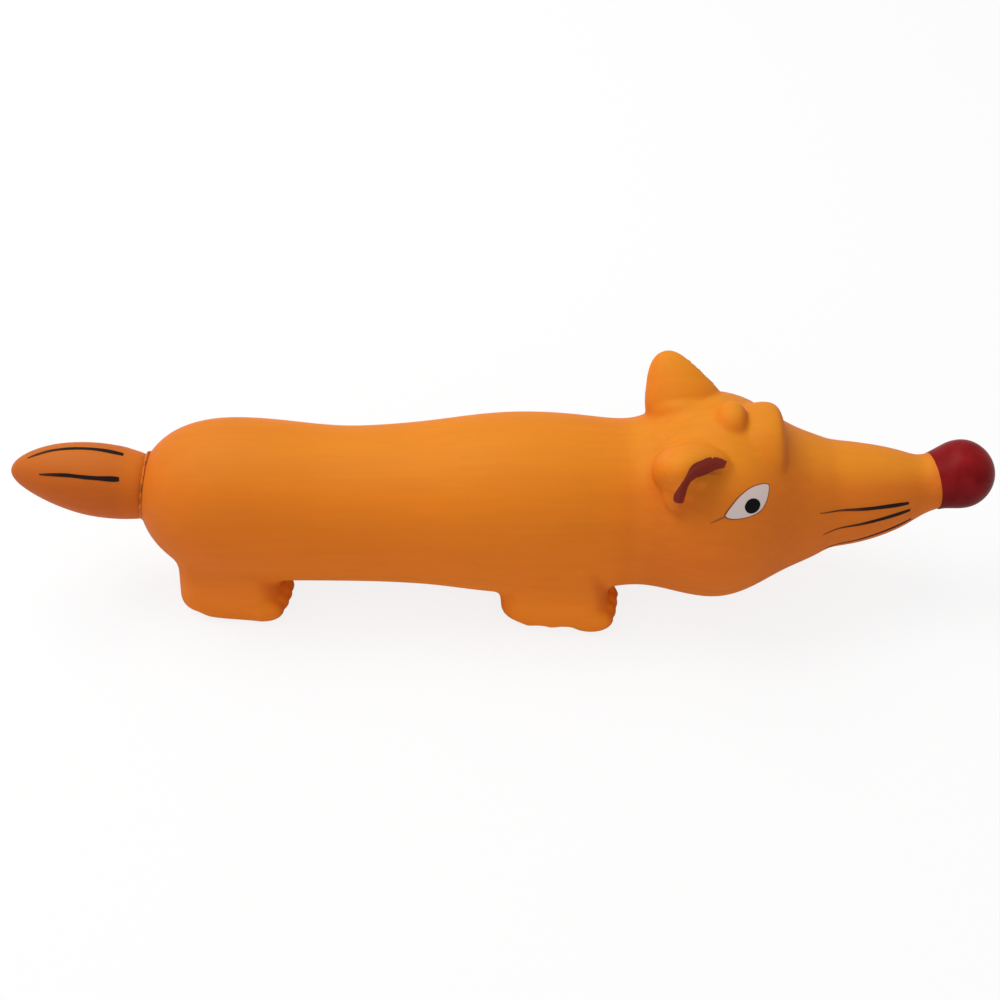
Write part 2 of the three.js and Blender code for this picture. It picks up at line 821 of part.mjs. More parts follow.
// Inner ear paint: a film on the wall of the cup, along its upper and rear edge
const filmShell = cutBy(earCup(-pieceGap), earCup(-pieceGap - paintThickness));
const earEdge = earSolid(-pieceGap);
const crescentFootShare = 0.35; // the paint starts this far up the ear
const belowCrescent = placedEar(new THREE.BoxGeometry(toyLength, toyLength, earHeight)
  .translate(0, 0, (crescentFootShare - 1 / 2) * earHeight));
const innerEar = geometryOf(cutBy(filmShell.intersect(earEdge), belowCrescent));
addPiece('right_inner_ear', innerEar, brickPaint);
addPiece('left_inner_ear', mirrored(innerEar), brickPaint);

// Wadding: it fills the skins and leaves room for what reaches inside
const fillSettings = {
  grow: -latexWall - pieceGap,
  stations: hollowStations,
  facets: hollowFacets,
};
const rootRoomShare = 1.1; // room for a ball root, whose own facets are finer

function rootRoom(centre, radius) {
  return ballAt(centre, (radius + 2 * pieceGap) * rootRoomShare, smallFacets);
}

const neckGap = slab(neckX - pieceGap, neckX + pieceGap);
const squeakerRoom = solidOf(uprightCylinder(
  collarRadius + pieceGap,
  portFaceZ - overrun,
  housingTopZ + flangeThickness + 2 * pieceGap,
  turnedFacets,
));
const torsoFill = cutBy(
  torso.solid(fillSettings),
  squeakerRoom,
  rootRoom(tailPivot, tailRootRadius),
  neckGap,
);
addPiece('torso_fill', geometryOf(torsoFill), fibre);

const leftEarPivot = new THREE.Vector3(earPivot.x, -earPivot.y, earPivot.z);
const headFill = cutBy(
  head.solid({ ...fillSettings, shortBy: snoutPlugLength + overrun }),
  rootRoom(earPivot, earRootLong),
  rootRoom(leftEarPivot, earRootLong),
  neckGap,
);
addPiece('head_fill', geometryOf(headFill), fibre);

// Squeaker
const barrelRadius = portRadius - pieceGap;
const barrelBore = barrelRadius - housingWall;
const flangeRadius = portRadius + flangeWidth;
const flangeLowZ = portFaceZ - pieceGap - flangeThickness;
const housingFloorZ = portFaceZ + housingWall;
const reedRadius = 2.8;
const reedHeight = 9;
const reedBore = reedRadius + pieceGap;

function closedRing(profile, facets) {
  return welded(turnedPiece([...profile, profile[0]], facets));
}

addPiece('squeaker_housing', closedRing([
  [reedBore, flangeLowZ],
  [flangeRadius, flangeLowZ],
  [flangeRadius, flangeLowZ + flangeThickness],
  [barrelRadius, flangeLowZ + flangeThickness],
  [barrelRadius, housingTopZ],
  [barrelBore, housingTopZ],
  [barrelBore, housingFloorZ],
  [reedBore, housingFloorZ],
], turnedFacets), squeakerPlastic);

const coverVent = 1.3;
const coverSkirt = 2;
const smallVents = 6;
const smallVentRadius = 0.7;
const smallVentCircle = 3;
const coverZ = housingTopZ + pieceGap;
const coverDisc = solidOf(closedRing([
  [coverVent, coverZ],
  [barrelBore - pieceGap - housingWall, coverZ],
  [barrelBore - pieceGap - housingWall, coverZ - coverSkirt],
  [barrelBore - pieceGap, coverZ - coverSkirt],
  [barrelBore - pieceGap, coverZ],
  [barrelRadius, coverZ],
  [barrelRadius, coverZ + flangeThickness],
  [coverVent, coverZ + flangeThickness],
], turnedFacets));
const ventHoles = Array.from({ length: smallVents }, (_, i) => {
  const angle = (2 * Math.PI * i) / smallVents;
  const hole = uprightCylinder(smallVentRadius, coverZ - overrun, coverZ + overrun, smallFacets);
  hole.translate(smallVentCircle * Math.cos(angle), smallVentCircle * Math.sin(angle), 0);
  return solidOf(hole);
});
addPiece('squeaker_cover', geometryOf(cutBy(coverDisc, ...ventHoles)), squeakerPlastic);

// Reed: a half-round trough on a round plug, a strip over the trough, and a clamp around both
const troughWide = 2.4;
const troughDeep = 1.5;
const troughEnd = 1.2;
const tongueThickness = 0.4;
const tongueWide = 4;
const clampHeight = 2.4;
const clampWall = 1;
const holderTopZ = housingFloorZ + reedHeight;

function boxBetween([lowX, lowY, lowZ], [highX, highY, highZ]) {
  const box = new THREE.BoxGeometry(highX - lowX, highY - lowY, highZ - lowZ);
  box.translate(squeakerX + (lowX + highX) / 2, (lowY + highY) / 2, (lowZ + highZ) / 2);
  return box;
}

const flatCut = solidOf(boxBetween(
  [0, -2 * reedRadius, housingFloorZ + pieceGap],
  [2 * reedRadius, 2 * reedRadius, holderTopZ + overrun],
));
const trough = solidOf(boxBetween(
  [-troughDeep, -troughWide / 2, flangeLowZ - overrun],
  [pieceGap, troughWide / 2, holderTopZ - troughEnd],
));
const holderPlug = solidOf(uprightCylinder(reedRadius, flangeLowZ, holderTopZ, turnedFacets));
addPiece('reed_holder', geometryOf(cutBy(holderPlug, flatCut, trough)), squeakerPlastic);

const clampLowZ = housingFloorZ + 2 * pieceGap;
const clampTopZ = clampLowZ + clampHeight;
const tongue = boxBetween(
  [pieceGap, -tongueWide / 2, clampLowZ],
  [pieceGap + tongueThickness, tongueWide / 2, holderTopZ],
);
addPiece('reed_tongue', welded(tongue), reedPlastic);

const clampRing = solidOf(uprightCylinder(
  reedBore + clampWall,
  clampLowZ,
  clampTopZ,
  turnedFacets,
));
const holderRoom = cutBy(
  solidOf(uprightCylinder(reedBore, clampLowZ - overrun, clampTopZ + overrun, turnedFacets)),
  solidOf(boxBetween(
    [pieceGap, -2 * reedBore, clampLowZ - 2 * overrun],
    [2 * reedBore, 2 * reedBore, clampTopZ + 2 * overrun],
  )),
);
const tongueRoom = solidOf(boxBetween(
  [0, -tongueWide / 2 - pieceGap, clampLowZ - overrun],
  [tongueThickness + 2 * pieceGap, tongueWide / 2 + pieceGap, clampTopZ + overrun],
));
addPiece('reed_collar', geometryOf(cutBy(clampRing, holderRoom, tongueRoom)), squeakerPlastic);

export default toy;
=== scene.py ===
import math
import bpy
from mathutils import Matrix, Vector


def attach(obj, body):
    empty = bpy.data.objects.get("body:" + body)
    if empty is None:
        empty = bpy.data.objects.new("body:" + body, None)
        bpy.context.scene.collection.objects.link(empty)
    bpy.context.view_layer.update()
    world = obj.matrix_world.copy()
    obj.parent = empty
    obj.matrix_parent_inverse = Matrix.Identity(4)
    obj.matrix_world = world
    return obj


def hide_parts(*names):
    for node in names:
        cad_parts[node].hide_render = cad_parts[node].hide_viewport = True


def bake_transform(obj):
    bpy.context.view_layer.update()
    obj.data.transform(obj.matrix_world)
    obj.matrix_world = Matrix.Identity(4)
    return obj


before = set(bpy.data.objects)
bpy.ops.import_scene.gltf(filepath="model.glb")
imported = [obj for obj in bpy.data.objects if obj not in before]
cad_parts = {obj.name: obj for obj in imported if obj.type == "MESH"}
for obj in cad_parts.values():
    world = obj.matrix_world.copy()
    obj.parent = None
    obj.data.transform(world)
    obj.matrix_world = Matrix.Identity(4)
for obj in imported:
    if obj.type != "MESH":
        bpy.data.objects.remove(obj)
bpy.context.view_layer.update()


# Latex casting: torso, head, snout and legs are one hollow piece, poured in a plaster mould and
# stuffed. Its broad forms are drawn one by one, in millimetres, and melted into one skin.
body_axis = 33.9  # height of the torso's middle line

# Each ring along X is its place, its radius, and the rise of its middle above the torso's.
torso_rings = [
    (-127.7, 0.6, 4.1), (-127.3, 4.8, 4.1), (-126.1, 9.2, 4.1), (-124.2, 13.4, 4.1),
    (-121.2, 17.7, 3.9), (-117.2, 21.4, 3.7), (-112.3, 24.6, 3.1), (-106.3, 27.1, 2.4),
    (-99.0, 28.5, 2.0), (-90.5, 28.8, 1.7), (-80.5, 28.5, 1.2), (-68.5, 27.8, 0.2),
    (-56.0, 27.3, -0.7), (-45.0, 27.6, -0.5), (-34.5, 28.2, -0.3), (-24.0, 29.1, 0.0),
    (-14.0, 30.5, 0.0), (-3.5, 31.7, 0.0), (6.5, 32.1, 0.0), (17.5, 31.8, 0.0),
    (28.5, 30.9, -0.2), (37.5, 29.7, -0.1), (44.5, 29.1, 0.4),
]
head_rings = [
    (50.0, 30.1, 1.5), (55.0, 31.8, 2.6), (60.0, 33.5, 3.2), (65.3, 35.1, 3.8),
    (70.6, 36.1, 4.1), (75.8, 36.1, 4.2), (81.0, 34.8, 4.1), (86.2, 32.6, 4.0),
    (91.4, 29.7, 3.9), (96.6, 26.6, 3.6), (101.8, 24.1, 3.3), (106.6, 22.2, 3.5),
    (110.3, 20.6, 3.9), (112.4, 19.4, 4.3), (114.8, 18.8, 4.5), (118.6, 18.4, 4.6),
    (123.4, 17.7, 4.8), (128.6, 16.6, 5.3), (133.8, 15.2, 5.9), (139.0, 13.3, 6.6),
    (142.2, 11.7, 7.3), (144.8, 10.6, 8.1), (147.0, 10.3, 9.5), (149.4, 10.5, 11.2),
    (151.8, 10.9, 12.5), (153.6, 9.0, 13.2),
]
body_rings = torso_rings + head_rings


def select_only(*objects):
    bpy.ops.object.select_all(action="DESELECT")
    for thing in objects:
        thing.select_set(True)
    bpy.context.view_layer.objects.active = objects[0]


def apply_modifier(thing, kind, **settings):
    """Adds a modifier with its settings and applies it at once."""
    select_only(thing)
    modifier = thing.modifiers.new(kind.title(), kind)
    for name, value in settings.items():
        setattr(modifier, name, value)
    bpy.ops.object.modifier_apply(modifier=modifier.name)


def round_form(name, rings, sides):
    """Draws a closed round form along X: a small disc is extruded and resized ring by ring."""
    bpy.ops.object.select_all(action="DESELECT")
    x, radius, z = rings[0]
    bpy.ops.mesh.primitive_circle_add(
        vertices=sides, radius=radius, fill_type="NGON",
        location=(x, 0, z), rotation=(0, math.pi / 2, 0),
    )
    form = bpy.context.object
    form.name = name
    bpy.ops.object.transform_apply(location=True, rotation=True, scale=True)
    bpy.ops.object.mode_set(mode="EDIT")
    for (from_x, from_radius, from_z), (to_x, to_radius, to_z) in zip(rings, rings[1:]):
        bpy.ops.mesh.extrude_region_move(
            TRANSFORM_OT_translate={"value": (to_x - from_x, 0, to_z - from_z)}
        )
        grow = to_radius / from_radius
        bpy.ops.transform.resize(value=(1, grow, grow), center_override=(to_x, 0, to_z))
    bpy.ops.mesh.select_all(action="SELECT")
    bpy.ops.transform.resize(value=(0.001, 0.001, 0.001), center_override=(0, 0, 0))
    bpy.ops.mesh.normals_make_consistent(inside=False)
    bpy.ops.object.mode_set(mode="OBJECT")
    apply_modifier(form, "SUBSURF", levels=2, render_levels=2)
    return form


def ball(name, middle, radii, turn=(0, 0, 0)):
    """A round lump of the casting, in millimetres and degrees."""
    bpy.ops.object.select_all(action="DESELECT")
    bpy.ops.mesh.primitive_uv_sphere_add(
        segments=32, ring_count=20, radius=0.001, location=[v / 1000 for v in middle],
        rotation=[math.radians(angle) for angle in turn], scale=radii,
    )
    lump = bpy.context.object
    lump.name = name
    bpy.ops.object.transform_apply(location=True, rotation=True, scale=True)
    return lump


swell = 1.004  # the rings start this much wider, as smoothing shrinks the skin a little
fox_skin = round_form(
    "fox_skin",
    [(x, radius * swell, body_axis + rise) for x, radius, rise in body_rings],
    sides=36,
)


# Legs: hollow stubs under the chest and rump, whose flanks run up into the body. Each stands on a
# long flat foot with four soft toes, and the left pair mirrors the right one.
def rounded_block(name, low, high, corner, top_scale=1.0):
    """A block between two corners, in millimetres, with its upright edges rounded."""
    bpy.ops.object.select_all(action="DESELECT")
    bpy.ops.mesh.primitive_cube_add(
        size=0.001,
        location=[(a + b) / 2000 for a, b in zip(low, high)],
        scale=[b - a for a, b in zip(low, high)],
    )
    block = bpy.context.object
    block.name = name
    bpy.ops.object.transform_apply(location=True, rotation=True, scale=True)
    for edge in block.data.edges:
        a, b = (block.data.vertices[i].co for i in edge.vertices)
        edge.select = abs(a.z - b.z) > 0.001
    for face in block.data.polygons:
        face.select = False
    bpy.ops.object.mode_set(mode="EDIT")
    bpy.ops.mesh.select_mode(type="EDGE")
    bpy.ops.mesh.bevel(offset=corner / 1000, segments=8)
    bpy.ops.mesh.select_all(action="DESELECT")
    bpy.ops.object.mode_set(mode="OBJECT")
    for face in block.data.polygons:
        face.select = face.normal.z > 0.9
    bpy.ops.object.mode_set(mode="EDIT")
    bpy.ops.transform.resize(
        value=(top_scale, 1, 1), center_override=[(a + b) / 2000 for a, b in zip(low, high)]
    )
    bpy.ops.mesh.select_all(action="SELECT")
    bpy.ops.mesh.normals_make_consistent(inside=False)
    bpy.ops.object.mode_set(mode="OBJECT")
    return block


def set_down(form, place, lean=0.0, turn=0.0, spin=0.0):
    """Spins a form about its own Z, leans it about X, turns it about Z and puts it in place."""
    form.data.transform(
        Matrix.Translation(Vector(place) / 1000)
        @ Matrix.Rotation(math.radians(turn), 4, "Z")
        @ Matrix.Rotation(math.radians(lean), 4, "X")
        @ Matrix.Rotation(math.radians(spin), 4, "Z")
    )
    form.data.update()
    return form


def leg(name, heel, reach, inner, outer, splay):
    """A right leg's foot and flank, from heel to toe and from its inner to its outer side."""
    long, wide = reach - heel, outer - inner
    foot = rounded_block(name, (4.6, 0.5 - wide, 0), (long - 2.0, -0.2, 9.6), corner=9.6)
    apply_modifier(
        foot, "BEVEL", width=0.0034, segments=5, limit_method="ANGLE", angle_limit=math.radians(50)
    )
    flank = rounded_block(
        name + "_flank", (0.2, 0.8 - wide, 4), (long * 0.92, -1.2, 31), corner=9.0, top_scale=0.84
    )
    heel_pad = ball(name + "_heel", (11.4, 0.5 - wide / 2, 6.4), (10.6, wide / 2, 6.5))
    for piece in (foot, flank, heel_pad):
        set_down(piece, (heel, -inner, 0), turn=-splay)
    return [foot, flank, heel_pad]


def toes(name, heel, reach, inner, outer, splay):
    """Four toes side by side at the front of a right foot, the outer ones set back."""
    long, wide = reach - heel, outer - inner
    setbacks = (0.0, 0.0, 0.4, 1.4)  # from the inner toe to the outer one
    half_wide = 4.5
    row = []
    for i, setback in enumerate(setbacks):
        across = half_wide + (wide - 2 * half_wide) * i / (len(setbacks) - 1)
        toe = ball(
            f"{name}_toe_{i}", (long - 8.6 - setback, -across, 5.2), (8.7, half_wide, 5.3)
        )
        row.append(set_down(toe, (heel, -inner, 0), turn=-splay))
    return row


# Each foot is its name, its heel and its reach along X, its inner and outer sides, and its splay.
front_feet = ("front_leg", -0.9, 41.4, 10.2, 31.2, 4.6)
rear_feet = ("rear_leg", -114.9, -74.6, 5.2, 26.0, 5.8)
legs = [*leg(*front_feet), *leg(*rear_feet)]
all_toes = [*toes(*front_feet), *toes(*rear_feet)]
ear_root = (62.5, -16.0, 64.4)  # the right ear's, in millimetres
ear_lean = 45.0  # outwards from upright
ear_mound = set_down(ball("ear_mound", (0, 0, -1.0), (13.6, 11.2, 5.6)), ear_root, ear_lean)

# The squeaker's port: a thick rim of latex round the hole in the belly, pressed flat below.
bpy.ops.object.select_all(action="DESELECT")
bpy.ops.mesh.primitive_cylinder_add(
    vertices=64, radius=0.0100, depth=0.006, location=(-0.038, 0, 0.0080)
)
port_rim = bpy.context.object
apply_modifier(port_rim, "BEVEL", width=0.0010, segments=4)

# The broad forms of the right side are joined and mirrored, and all of them melt into one skin.
select_only(ear_mound, *legs)
bpy.ops.object.join()
apply_modifier(ear_mound, "MIRROR", use_axis=(False, True, False), use_mirror_merge=False)
select_only(fox_skin, ear_mound, port_rim)
bpy.ops.object.join()
apply_modifier(fox_skin, "REMESH", mode="VOXEL", voxel_size=0.001, adaptivity=0.0)
apply_modifier(fox_skin, "SMOOTH", factor=0.5, iterations=16)


# Brow and forelock: a broad lobe of hair grows out of the crown, overhangs the brow and ends in a
# step above the snout's root. A soft knob, the second lock, sits behind it on the midline.
brow_lobe = round_form(
    "brow_lobe",
    [
        (70.0, 1.0, 58.0), (71.0, 6.0, 58.0), (74.0, 11.0, 58.0), (79.0, 15.0, 58.0),
        (84.0, 17.0, 58.0), (88.0, 17.4, 58.0), (90.4, 17.2, 58.0), (92.0, 16.4, 58.0),
        (93.1, 15.0, 58.0), (93.9, 12.8, 58.0), (94.0, 8.0, 58.0), (94.0, 1.0, 58.0),
    ],
    sides=32,
)
brow_fold = ball("brow_fold", (85.6, 0, 44.6), (8.4, 27.4, 26.4))
crown_lock = ball("crown_lock", (75.6, 0.2, 71.8), (5.7, 7.4, 6.6), (0, 16, 0))


# Ears: thick shells on soft mounds, cast with the head. Each leans outwards with its tip swept
# back, and is scooped out on the side that faces out and forwards.
# Each ring up an ear is its height, half its length, half its thickness, and its shift back.
ear_rings = [
    (-6.0, 12.8, 8.8, 0.4), (0.0, 13.5, 9.6, 0.5), (3.0, 13.5, 9.5, 0.6), (5.9, 12.9, 9.0, 0.9),
    (9.0, 11.5, 8.2, 1.9), (11.4, 10.4, 7.4, 2.7), (13.6, 9.1, 6.6, 3.4), (16.0, 7.1, 5.4, 4.5),
    (17.9, 5.0, 4.1, 5.2), (19.1, 2.8, 2.4, 5.6), (19.6, 0.8, 0.7, 5.7),
]
scoop_turn = 47.6  # the scoop faces this far from forwards, towards the fox's side
scoop_rings = [
    (3.4, 4.0, 4.0, -10.0), (3.8, 7.6, 8.0, -10.6), (4.8, 9.8, 10.8, -11.0),
    (7.0, 11.2, 12.6, -11.1), (11.0, 12.2, 13.4, -11.1), (15.0, 12.9, 14.0, -11.1),
    (20.0, 13.6, 14.6, -11.1), (26.0, 14.2, 15.0, -11.1),
]


def upright_form(name, rings):
    """Draws a closed form upwards from rings of height, half length, half thickness and shift."""
    bpy.ops.object.select_all(action="DESELECT")
    height, long, thick, back = rings[0]
    bpy.ops.mesh.primitive_circle_add(
        vertices=28, radius=1, fill_type="NGON", location=(-back, 0, height)
    )
    form = bpy.context.object
    form.name = name
    bpy.ops.object.transform_apply(location=True, rotation=True, scale=True)
    bpy.ops.object.mode_set(mode="EDIT")
    bpy.ops.transform.resize(value=(long, thick, 1), center_override=(-back, 0, height))
    for before, after in zip(rings, rings[1:]):
        bpy.ops.mesh.extrude_region_move(
            TRANSFORM_OT_translate={"value": (before[3] - after[3], 0, after[0] - before[0])}
        )
        bpy.ops.transform.resize(
            value=(after[1] / before[1], after[2] / before[2], 1),
            center_override=(-after[3], 0, after[0]),
        )
    bpy.ops.mesh.select_all(action="SELECT")
    bpy.ops.transform.resize(value=(0.001, 0.001, 0.001), center_override=(0, 0, 0))
    bpy.ops.mesh.normals_make_consistent(inside=False)
    bpy.ops.object.mode_set(mode="OBJECT")
    apply_modifier(form, "SUBSURF", levels=2, render_levels=2)
    return form


ear_shell = set_down(upright_form("ear_shell", ear_rings), ear_root, ear_lean)
ear_ridge = set_down(ball("ear_ridge", (-7.4, -6.6, 3.4), (3.4, 6.8, 4.6)), ear_root, ear_lean)
scoop = upright_form("scoop", scoop_rings)
scoop.data.transform(Matrix.Translation((0, -0.0018, 0)))
set_down(scoop, ear_root, ear_lean, spin=-scoop_turn)
for latex in (ear_shell, ear_ridge):
    apply_modifier(latex, "BOOLEAN", operation="DIFFERENCE", object=scoop, solver="EXACT")
ear_knob = set_down(ball("ear_knob", (1.6, -3.6, 3.9), (2.6, 2.2, 1.7)), ear_root, ear_lean)

# The finer forms of the right side are joined and mirrored, and join the skin with less melting.
select_only(ear_shell, ear_ridge, ear_knob, *all_toes)
bpy.ops.object.join()
apply_modifier(ear_shell, "MIRROR", use_axis=(False, True, False), use_mirror_merge=False)
select_only(fox_skin, ear_shell, brow_lobe, brow_fold, crown_lock)
bpy.ops.object.join()
apply_modifier(fox_skin, "REMESH", mode="VOXEL", voxel_size=0.0008, adaptivity=0.0)
apply_modifier(fox_skin, "SMOOTH", factor=0.5, iterations=8)
bpy.data.objects.remove(scoop)

# Each ear is parted from the skin round its mound.
ears = {}
ear_lines = {}  # where each ear starts, and the direction up it
for side, name in ((-1, "right_ear_latex"), (1, "left_ear_latex")):
    bpy.ops.object.select_all(action="DESELECT")
    root = Vector((ear_root[0] / 1000, -side * ear_root[1] / 1000, ear_root[2] / 1000))
    up_ear = Vector((0, side * math.sqrt(0.5), math.sqrt(0.5)))
    ear_lines[side] = (root, up_ear)
    bpy.ops.mesh.primitive_cylinder_add(
        vertices=64, radius=0.0152, depth=0.04, location=root + up_ear * 0.014,
        rotation=(-side * math.radians(ear_lean), 0, 0),
    )
    punch = bpy.context.object
    ear = fox_skin.copy()
    ear.data = fox_skin.data.copy()
    ear.name = name
    bpy.context.collection.objects.link(ear)
    apply_modifier(ear, "BOOLEAN", operation="INTERSECT", object=punch, solver="MANIFOLD")
    apply_modifier(fox_skin, "BOOLEAN", operation="DIFFERENCE", object=punch, solver="MANIFOLD")
    bpy.data.objects.remove(punch)
    ears[side] = ear
for thing in (fox_skin, *ears.values()):
    select_only(thing)
    bpy.ops.object.shade_smooth_by_angle(angle=math.radians(50))

# Each ear keeps where its skin lies and faces at rest, and the paint inside it is laid out by
# these.
for ear in ears.values():
    for word, domain, vectors in (
        ("rest_place", "POINT", [vertex.co.copy() for vertex in ear.data.vertices]),
        ("rest_facing", "CORNER", [corner.vector.copy() for corner in ear.data.corner_normals]),
    ):
        kept_at_rest = ear.data.attributes.new(word, "FLOAT_VECTOR", domain)
        for point, vector in zip(kept_at_rest.data, vectors):
            point.vector = vector


# Latex finish: matte sprayed colour on cast latex. It is yellower on the head and redder on the
# rump, faintly streaked by the brush, with small pits from the plaster. Painted shade makes it
# darker and redder on the flanks, along the belly, on the cheeks and on whatever faces forwards,
# and painted light brightens the feet.
def new_finish(name, roughness, specular):
    """A finish, with its nodes and the shader that they end in."""
    material = bpy.data.materials.new(name)
    material.use_nodes = True
    shader = material.node_tree.nodes["Principled BSDF"]
    shader.inputs["Roughness"].default_value = roughness
    shader.inputs["Specular IOR Level"].default_value = specular
    return material, material.node_tree, shader


def feed(tree, value, socket):
    """Links a value to a socket, or sets it there if it is a constant."""
    if isinstance(value, bpy.types.NodeSocket):
        tree.links.new(value, socket)
    else:
        socket.default_value = value


def apart(tree, vector):
    """The X, Y and Z of a vector."""
    parts = tree.nodes.new("ShaderNodeSeparateXYZ")
    tree.links.new(vector, parts.inputs["Vector"])
    return parts.outputs


def clouds(tree, where, scale, detail=2.0):
    """Soft uneven patches, from 0 to 1, and the smaller the larger their scale is."""
    texture = tree.nodes.new("ShaderNodeTexNoise")
    texture.inputs["Scale"].default_value = scale
    texture.inputs["Detail"].default_value = detail
    tree.links.new(where, texture.inputs["Vector"])
    return texture.outputs["Fac"]


def worked_out(tree, operation, *values):
    """The result of a sum on linked values and constants."""
    node = tree.nodes.new("ShaderNodeMath")
    node.operation = operation
    for value, socket in zip(values, node.inputs):
        feed(tree, value, socket)
    return node.outputs["Value"]


def fade(tree, value, low, high, to_low=0.0, to_high=1.0, smooth=False):
    """Runs from one number to another as a value runs from low to high, and stops at both."""
    node = tree.nodes.new("ShaderNodeMapRange")
    if smooth:
        node.interpolation_type = "SMOOTHSTEP"
    node.inputs["From Min"].default_value = low
    node.inputs["From Max"].default_value = high
    node.inputs["To Min"].default_value = to_low
    node.inputs["To Max"].default_value = to_high
    tree.links.new(value, node.inputs["Value"])
    return node.outputs["Result"]


def shades(tree, value, stops):
    """Runs through colours, each given with its place between 0 and 1, from first to last."""
    node = tree.nodes.new("ShaderNodeValToRGB")
    elements = node.color_ramp.elements
    for element, (position, colour) in ((elements[0], stops[0]), (elements[1], stops[-1])):
        element.position = position
        element.color = (*colour, 1)
    for position, colour in stops[1:-1]:
        elements.new(position).color = (*colour, 1)
    tree.links.new(value, node.inputs["Fac"])
    return node.outputs["Color"]


def mixed(tree, blend, factor, first, second):
    """Two colours, the second laid over the first as far as the factor says."""
    node = tree.nodes.new("ShaderNodeMix")
    node.data_type = "RGBA"
    node.blend_type = blend
    for value, word in ((factor, "Factor"), (first, "A"), (second, "B")):
        feed(tree, value, node.inputs[word])
    return node.outputs["Result"]


def dimpled(tree, height, strength, distance, under=None):
    """A surface with small dents, on top of another's if one is given."""
    node = tree.nodes.new("ShaderNodeBump")
    node.inputs["Strength"].default_value = strength
    node.inputs["Distance"].default_value = distance
    tree.links.new(height, node.inputs["Height"])
    if under is not None:
        tree.links.new(under, node.inputs["Normal"])
    return node.outputs["Normal"]


def masked(tree, mask, value, limit):
    """Keeps a mask where a value, in metres, passes a limit, with a slightly soft edge."""
    soft_edge = 0.0004
    return worked_out(tree, "MULTIPLY", mask, fade(tree, value, limit, limit + soft_edge))


def at_rest(tree, word):
    """What an ear's skin keeps under a word: where it lies or faces when the ear isn't bent."""
    kept = tree.nodes.new("ShaderNodeAttribute")
    kept.attribute_name = word
    return kept.outputs["Vector"]


def in_ear(tree, vector, side, shift):
    """A vector mirrored to the right ear if need be, in the frame its scoop was drawn in."""
    mirrored = tree.nodes.new("ShaderNodeVectorMath")
    mirrored.operation = "MULTIPLY_ADD"
    mirrored.inputs[1].default_value = (1, -side, 1)
    mirrored.inputs[2].default_value = shift
    tree.links.new(vector, mirrored.inputs[0])
    turned = tree.nodes.new("ShaderNodeMapping")
    turned.inputs["Rotation"].default_value = (
        -math.radians(ear_lean), 0, math.radians(scoop_turn)
    )
    tree.links.new(mirrored.outputs["Vector"], turned.inputs["Vector"])
    return apart(tree, turned.outputs["Vector"])


def crescent_mask(tree, side):
    """Where the brick red crescent lies: a bowed band inside the ear, clear of its rim."""
    rest_place = at_rest(tree, "rest_place")
    lies = in_ear(tree, rest_place, side, [-v / 1000 for v in ear_root])
    faces = in_ear(tree, at_rest(tree, "rest_facing"), side, (0, 0, 0))
    wraps_back = worked_out(tree, "MULTIPLY_ADD", lies["Y"], -32.0, faces["X"])
    faces_in = fade(tree, wraps_back, -0.08, 0.07)
    low_down = fade(tree, lies["Z"], 0.0055, 0.0040)
    mask = worked_out(tree, "MAXIMUM", faces_in, low_down)
    wobble = clouds(tree, rest_place, 260.0)
    inwards = worked_out(tree, "MULTIPLY_ADD", wobble, 0.0010, lies["X"])
    # Two brush edges, each a bow across the ear: its bend, its slant, and where it starts.
    along_edge = worked_out(tree, "ADD", lies["Y"], 0.003)
    for bend, slant, start, outer in (
        (41.5, -0.10, -0.0029, True),
        (76.0, 0.0, 0.0024, False),
    ):
        bow = worked_out(tree, "MULTIPLY_ADD", along_edge, bend, slant)
        edge = worked_out(tree, "MULTIPLY_ADD", bow, along_edge, start)
        between = (inwards, edge) if outer else (edge, inwards)
        mask = masked(tree, mask, worked_out(tree, "SUBTRACT", *between), 0.0)
    # The band's two ends are round: each edge falls back away from the band's middle.
    off_middle = worked_out(tree, "SUBTRACT", inwards, 0.0032)
    off_squared = worked_out(tree, "MULTIPLY", off_middle, off_middle)
    for sign, limit in ((-1, -0.0102), (1, -0.0124)):
        end_place = worked_out(tree, "MULTIPLY", lies["Y"], sign)
        rounded = worked_out(tree, "MULTIPLY_ADD", off_squared, -330.0, end_place)
        mask = masked(tree, mask, rounded, limit)
    return mask


